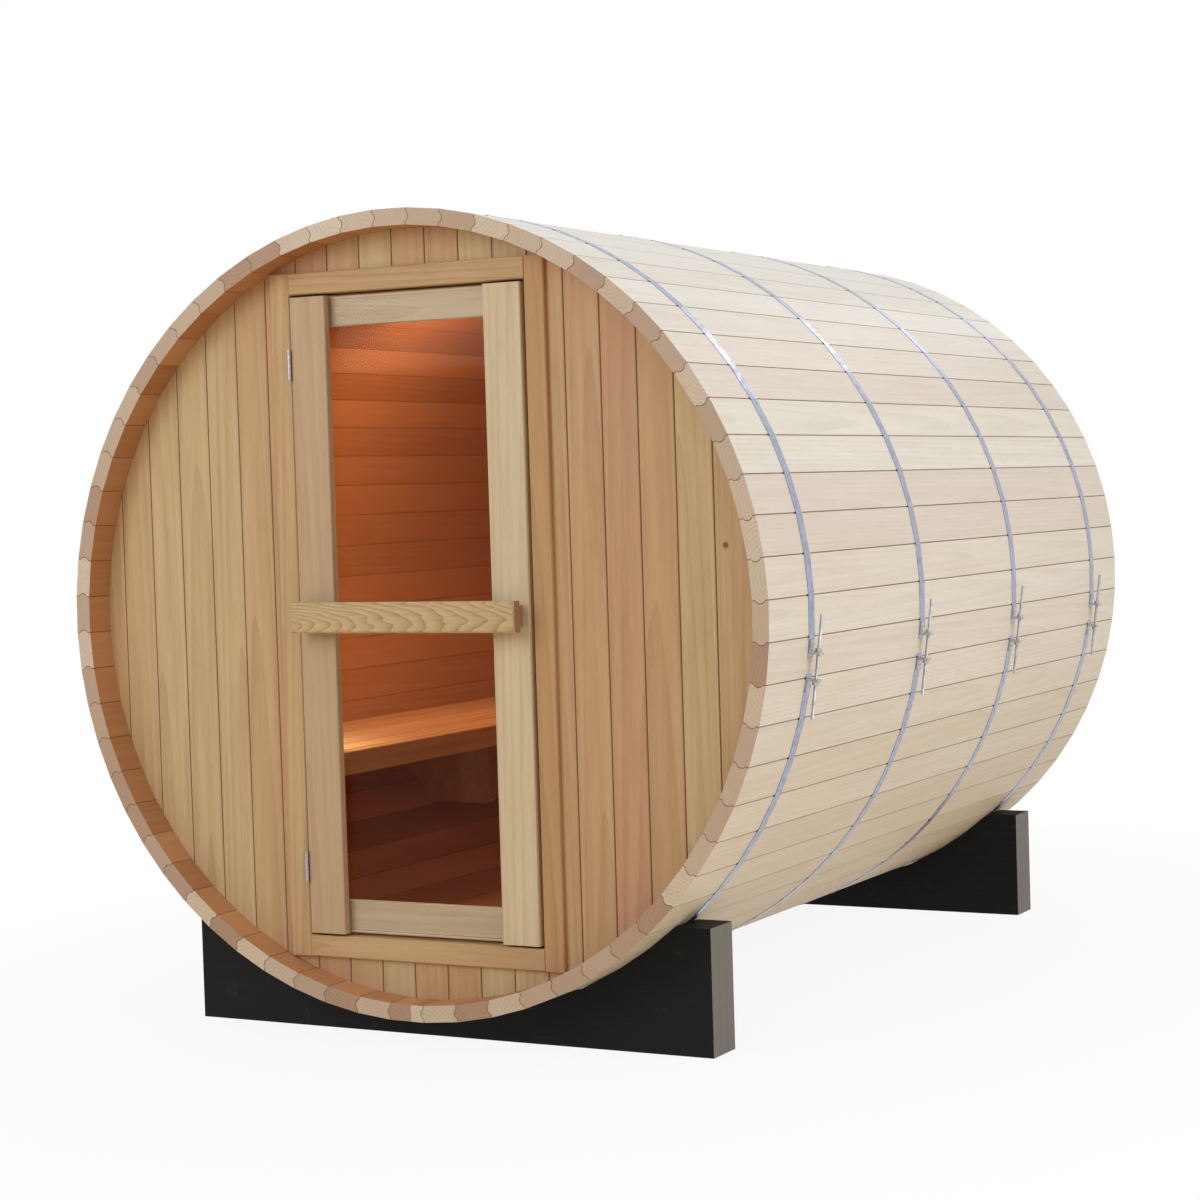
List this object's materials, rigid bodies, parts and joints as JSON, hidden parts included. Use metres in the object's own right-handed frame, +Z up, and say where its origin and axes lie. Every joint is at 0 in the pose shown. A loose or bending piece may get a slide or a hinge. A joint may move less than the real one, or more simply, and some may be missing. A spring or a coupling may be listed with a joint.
{
  "type": "barrel sauna",
  "caption": "Horizontal barrel of wooden staves held by steel bands on two cradles, with a recessed end wall, a glazed door that swings out and a bench along each side.",
  "frame": {"origin": "on the ground under the middle of the barrel", "axes": "+Z up, Y along the barrel with the door end towards -Y, +X to the right as seen from the door"},
  "size_m": [1.8589, 2.4, 1.8923],
  "materials": {
    "stave_wood": "planed softwood, unfinished",
    "wall_wood": "planed softwood boards, unfinished",
    "frame_wood": "planed softwood, unfinished",
    "door_wood": "planed softwood, unfinished",
    "inner_frame_wood": "planed softwood, unfinished",
    "handle_wood": "planed pine with strong grain",
    "bench_wood": "planed softwood, eased edges",
    "tinted_glass": "clear polished glass with a bronze tint",
    "band_steel": "bright rolled strip",
    "tensioner_steel": "zinc plated",
    "hinge_steel": "satin steel",
    "cradle_stain": "black stained timber, scuffed"
  },
  "bodies": {
    "cabin": {"staves_top": "stave_wood", "staves_upper_right": "stave_wood", "staves_right": "stave_wood", "staves_lower_right": "stave_wood", "staves_bottom": "stave_wood", "staves_lower_left": "stave_wood", "staves_left": "stave_wood", "staves_upper_left": "stave_wood", "front_wall_left": "wall_wood", "front_wall_right": "wall_wood", "front_wall_top": "wall_wood", "front_wall_bottom": "wall_wood", "back_wall": "wall_wood", "door_jamb_left": "frame_wood", "door_jamb_right": "frame_wood", "door_head": "frame_wood", "door_sill": "frame_wood", "door_stops": "frame_wood", "hinge_upper_frame_leaf": "hinge_steel", "hinge_lower_frame_leaf": "hinge_steel", "band_1": "band_steel", "tensioner_1": "tensioner_steel", "band_2": "band_steel", "tensioner_2": "tensioner_steel", "band_3": "band_steel", "tensioner_3": "tensioner_steel", "band_4": "band_steel", "tensioner_4": "tensioner_steel", "cradle_front": "cradle_stain", "cradle_rear": "cradle_stain", "bench_left": "bench_wood", "bench_left_supports": "bench_wood", "bench_right": "bench_wood", "bench_right_supports": "bench_wood"},
    "door": {"door_stile_left": "door_wood", "door_stile_right": "door_wood", "door_glass": "tinted_glass", "door_inner_stiles": "inner_frame_wood", "door_rail_top": "inner_frame_wood", "door_rail_bottom": "inner_frame_wood", "door_handle": "handle_wood", "door_handle_blocks": "handle_wood", "hinge_upper_door_leaf": "hinge_steel", "hinge_lower_door_leaf": "hinge_steel"}
  },
  "joints": [
    {"name": "door_hinge", "type": "hinge", "parent": "cabin", "child": "door", "pos_m": [-0.3085, -1.145, 0.9766], "axis": [0, 0, -1], "range_deg": [0, 110]}
  ]
}
